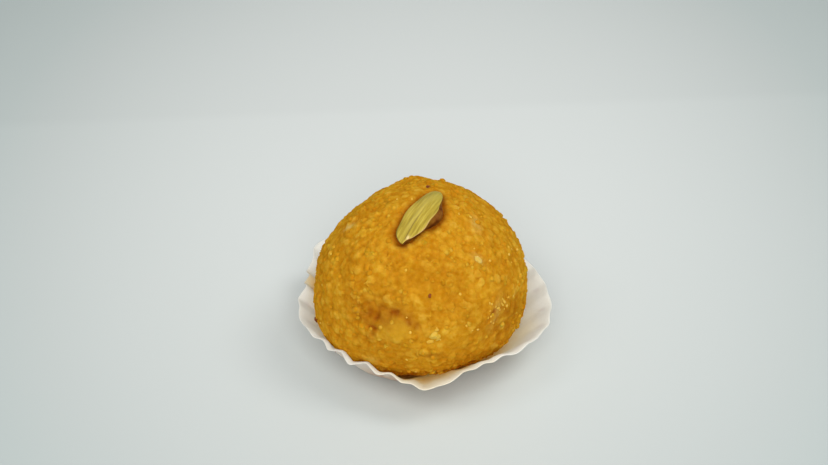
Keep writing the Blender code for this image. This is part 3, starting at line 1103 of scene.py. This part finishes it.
def kernel_flesh(tree, streaks):
    """The cut face: streaky, greener at its blunt end, with its flake and right rim picked out, a highlight
    painted on its ridge, and shade painted in its groove and along its left rim.
    """
    along, to_left = attribute(tree, "along"), attribute(tree, "edge")
    to_right = math_of(tree, "MULTIPLY", to_left, -1.0)
    left_rim_shade = kernel_rim(tree, to_left, along, ((0.84, 0.0), (0.965, 0.8)), ((0.12, 1.0), (0.5, 0.15)))
    right_rim = kernel_rim(tree, to_right, along, ((0.86, 0.0), (0.96, 0.8)), ((0.35, 1.0), (0.6, 0.0)))
    picked_out = (
        (grey_ramp(tree, along, (0.62, 0.0), (1.0, 0.55)), FLESH_AT_BLUNT_END),
        # A painted highlight on the ridge, and painted shade in the groove and along the left rim.
        (math_of(tree, "MULTIPLY", attribute(tree, "ridge"), 0.45), FLESH_ON_RIDGE_PAINTED_LIT),
        (math_of(tree, "MULTIPLY", attribute(tree, "groove"), 0.8), FLESH_IN_GROOVE_PAINTED_SHADE),
        (attribute(tree, "flake"), FLESH_ON_FLAKE),
        (left_rim_shade, LEFT_RIM_PAINTED_SHADE),
        (right_rim, RIGHT_RIM),
    )
    flesh = ramp(tree, streaks, ((0.34, FLESH_DEEP), (0.5, FLESH_MIDDLE), (0.66, FLESH_LIGHT)))
    for share, tone in picked_out:
        flesh = mix_colours(tree, share, flesh, tone)
    return flesh


def make_kernel_material():
    made, tree, shader = new_material("pistachio flesh and skin")
    streaks = kernel_streaks(tree)
    skin_tones = ((0.35, SKIN_DEEP), (0.52, SKIN_MIDDLE), (0.7, SKIN_LIGHT))
    skin = ramp(tree, blotches(tree, 420.0, 3.0), skin_tones)
    cut = attribute(tree, "cut")
    colour = mix_colours(tree, cut, skin, kernel_flesh(tree, streaks))
    tree.links.new(colour, shader.inputs["Base Color"])
    tree.links.new(bump(tree, streaks, 0.3 * MM), shader.inputs["Normal"])
    shader.inputs["Roughness"].default_value = 0.42
    glossy = grey_ramp(tree, cut, (0.0, 0.04), (1.0, 0.2))
    tree.links.new(glossy, shader.inputs["Specular IOR Level"])
    soften(shader, 0.2, (1.0, 0.8, 0.3), 0.8 * MM)
    return made


def make_dots(tree):
    """A ring of small dots, one on each outer fold, a little below the rim."""
    above = math_of(tree, "SUBTRACT", attribute(tree, "up_wall"), DOTS_UP_WALL)
    offsets = (
        math_of(tree, "MULTIPLY", above, 8.0),
        math_of(tree, "MULTIPLY", attribute(tree, "fold_aside"), 0.9),
        math_of(tree, "SUBTRACT", 1.0, attribute(tree, "fold")),
    )
    up, aside, behind = [math_of(tree, "MULTIPLY", offset, offset) for offset in offsets]
    away = math_of(tree, "ADD", math_of(tree, "ADD", up, aside), behind)
    return grey_ramp(tree, away, (0.10, 0.9), (0.22, 0.0))


def make_paper_material(name, printed):
    """White paper that lets light through, more where warm shade is painted, with shade tinted by the
    ladoo's orange bounce painted up from the wall's foot.
    """
    made, tree, shader = new_material(name)
    fibres = blotches(tree, 2400.0, 3.0)
    colour = ramp(tree, fibres, ((0.3, PAPER_DEEP), (0.7, PAPER_LIGHT)))
    seen = PAINTED_SHADE_SEEN_OUTSIDE if printed else 1.0
    # Painted shade, warm higher up and deep near the wall's foot, stands for shade and the ladoo's orange
    # bounce.
    above_painted_shade = math_of(tree, "SUBTRACT", attribute(tree, "up_wall"), attribute(tree, "painted_shade_up"))
    wander = math_of(tree, "SUBTRACT", blotches(tree, 160.0), 0.5)
    above_painted_shade = math_of(tree, "ADD", above_painted_shade, math_of(tree, "MULTIPLY", wander, 0.35))
    warm_painted_shade = grey_ramp(tree, above_painted_shade, (0.30, 0.75 * seen), (0.62, 0.30 * seen), (0.86, 0.0))
    deep_painted_shade = grey_ramp(tree, above_painted_shade, (0.16, 0.85 * seen), (0.46, 0.0))
    colour = mix_colours(tree, warm_painted_shade, colour, PAPER_IN_WARM_PAINTED_SHADE)
    colour = mix_colours(tree, deep_painted_shade, colour, PAPER_IN_DEEP_PAINTED_SHADE)
    through = put(tree, "ShaderNodeBsdfTranslucent", {"Color": colour})
    if printed:
        colour = mix_colours(tree, make_dots(tree), colour, PRINTED_DOTS)
    tree.links.new(colour, shader.inputs["Base Color"])
    tree.links.new(bump(tree, fibres, 0.06 * MM), shader.inputs["Normal"])
    shader.inputs["Roughness"].default_value = 0.62
    clearer = math_of(tree, "ADD", math_of(tree, "MULTIPLY", warm_painted_shade, 0.28), 0.60)
    mixed = put(tree, "ShaderNodeMixShader", {"Fac": clearer})
    tree.links.new(shader.outputs["BSDF"], mixed.inputs[1])
    tree.links.new(through.outputs["BSDF"], mixed.inputs[2])
    tree.links.new(mixed.outputs["Shader"], tree.nodes["Material Output"].inputs["Surface"])
    return made


# The studio


def make_floor():
    """A pale table whose light fades away from one place, with faint painted shade past the line where its
    far part begins.
    """
    bpy.ops.mesh.primitive_plane_add(size=TABLE_SIZE, location=(0.0, 0.0, TABLE_TOP))
    floor = take_new("floor")
    made, tree, shader = new_material("pale table")
    place = put(tree, "ShaderNodeSeparateXYZ", {"Vector": object_place(tree)}).outputs
    squares = []
    for axis, middle, half in zip("XY", LIT_CENTRE, LIT_HALF_SIZE):
        share = math_of(tree, "DIVIDE", math_of(tree, "SUBTRACT", place[axis], middle), half)
        squares.append(math_of(tree, "MULTIPLY", share, share))
    away = math_of(tree, "DIVIDE", math_of(tree, "ADD", *squares), LIGHT_FADES_OVER)
    colour = mix_colours(tree, 1.0, TABLE_COLOUR, ramp(tree, away, LIGHT_FADES), "MULTIPLY")
    slant = math_of(tree, "MULTIPLY", place["X"], FAR_PART_SLANT)
    back = math_of(tree, "SUBTRACT", place["Y"], slant)
    far_part_shade = grey_ramp(tree, back, (FAR_PART_FROM, 0.0), (FAR_PART_TO, FAR_PART_PAINTED_SHADE))
    colour = mix_colours(tree, far_part_shade, colour, (0.0, 0.0, 0.0))
    tree.links.new(colour, shader.inputs["Base Color"])
    shader.inputs["Roughness"].default_value = 0.6
    floor.data.materials.append(made)


def area_light(name, place, size, power):
    """A round lamp that faces the foot of the case."""
    light = bpy.data.lights.new(name, "AREA")
    light.shape = "DISK"
    light.size = size
    light.energy = power
    lamp = bpy.data.objects.new(name, light)
    bpy.context.scene.collection.objects.link(lamp)
    lamp.location = place
    lamp.rotation_euler = (-Vector(place)).to_track_quat("-Z", "Y").to_euler()


def make_studio():
    world = bpy.data.worlds.new("soft room")
    world.use_nodes = True
    sky = world.node_tree.nodes["Background"]
    sky.inputs["Color"].default_value = (1.0, 1.0, 1.0, 1.0)
    sky.inputs["Strength"].default_value = ROOM_LIGHT
    bpy.context.scene.world = world
    for lamp in LAMPS:
        area_light(*lamp)
    bpy.context.scene.view_settings.view_transform = "Standard"


def make_camera():
    lens = bpy.data.cameras.new("camera")
    lens.lens = CAMERA_LENS
    lens.sensor_width = CAMERA_SENSOR
    camera = bpy.data.objects.new("camera", lens)
    bpy.context.scene.collection.objects.link(camera)
    camera.location = CAMERA_PLACE
    from_straight_down = math.radians(90.0 - CAMERA_LOOKS_DOWN)
    camera.rotation_euler = (from_straight_down, 0.0, math.radians(CAMERA_TURNED))
    bpy.context.scene.camera = camera


def build():
    """Every piece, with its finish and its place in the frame."""
    deselect_all()
    kernel = make_kernel()
    kernel_surface = surface_of(kernel)
    case = make_case()
    ball = make_ball(kernel_surface, surface_of(case))
    surface = surface_of(ball)
    pearls = make_loose_pearls(surface, kernel_surface)
    crumbs = make_crumbs(surface, kernel_surface)
    lump = make_lump_model()
    chips = make_single_things("cashew_chips", surface, PALE_CHIPS, lump, LUMPS_SUNK)
    chunks = make_single_things("syrup_chunks", surface, YELLOW_CHUNKS, lump, LUMPS_SUNK)
    specks = make_single_things("cardamom_specks", surface, CARDAMOM_SPECKS, lump, SPECKS_SUNK)
    bpy.data.objects.remove(lump)

    finishes = (
        (kernel, make_kernel_material()),
        (ball, make_pearl_material("pressed pearls", True)),
        (pearls, make_pearl_material("loose pearls", False)),
        (crumbs, make_plain_food_material("set syrup and painted glints", *SET_SYRUP_AND_GLINTS)),
        (chips, make_plain_food_material("cashew", *CASHEW)),
        (chunks, make_plain_food_material("lump of syrup", *SYRUP_LUMP)),
        (specks, make_plain_food_material("cardamom", *CARDAMOM)),
    )
    for piece, finish in finishes:
        piece.data.materials.append(finish)
    case.data.materials[0] = make_paper_material("case paper inside", False)
    case.data.materials[1] = make_paper_material("case paper outside", True)

    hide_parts("ladoo")
    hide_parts("pistachio_half")
    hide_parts("paper_case")
    for piece in (ball, pearls, crumbs, chips, chunks, specks):
        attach(piece, "root")
    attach(kernel, "root")
    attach(case, "root")


build()
make_floor()
make_studio()
make_camera()
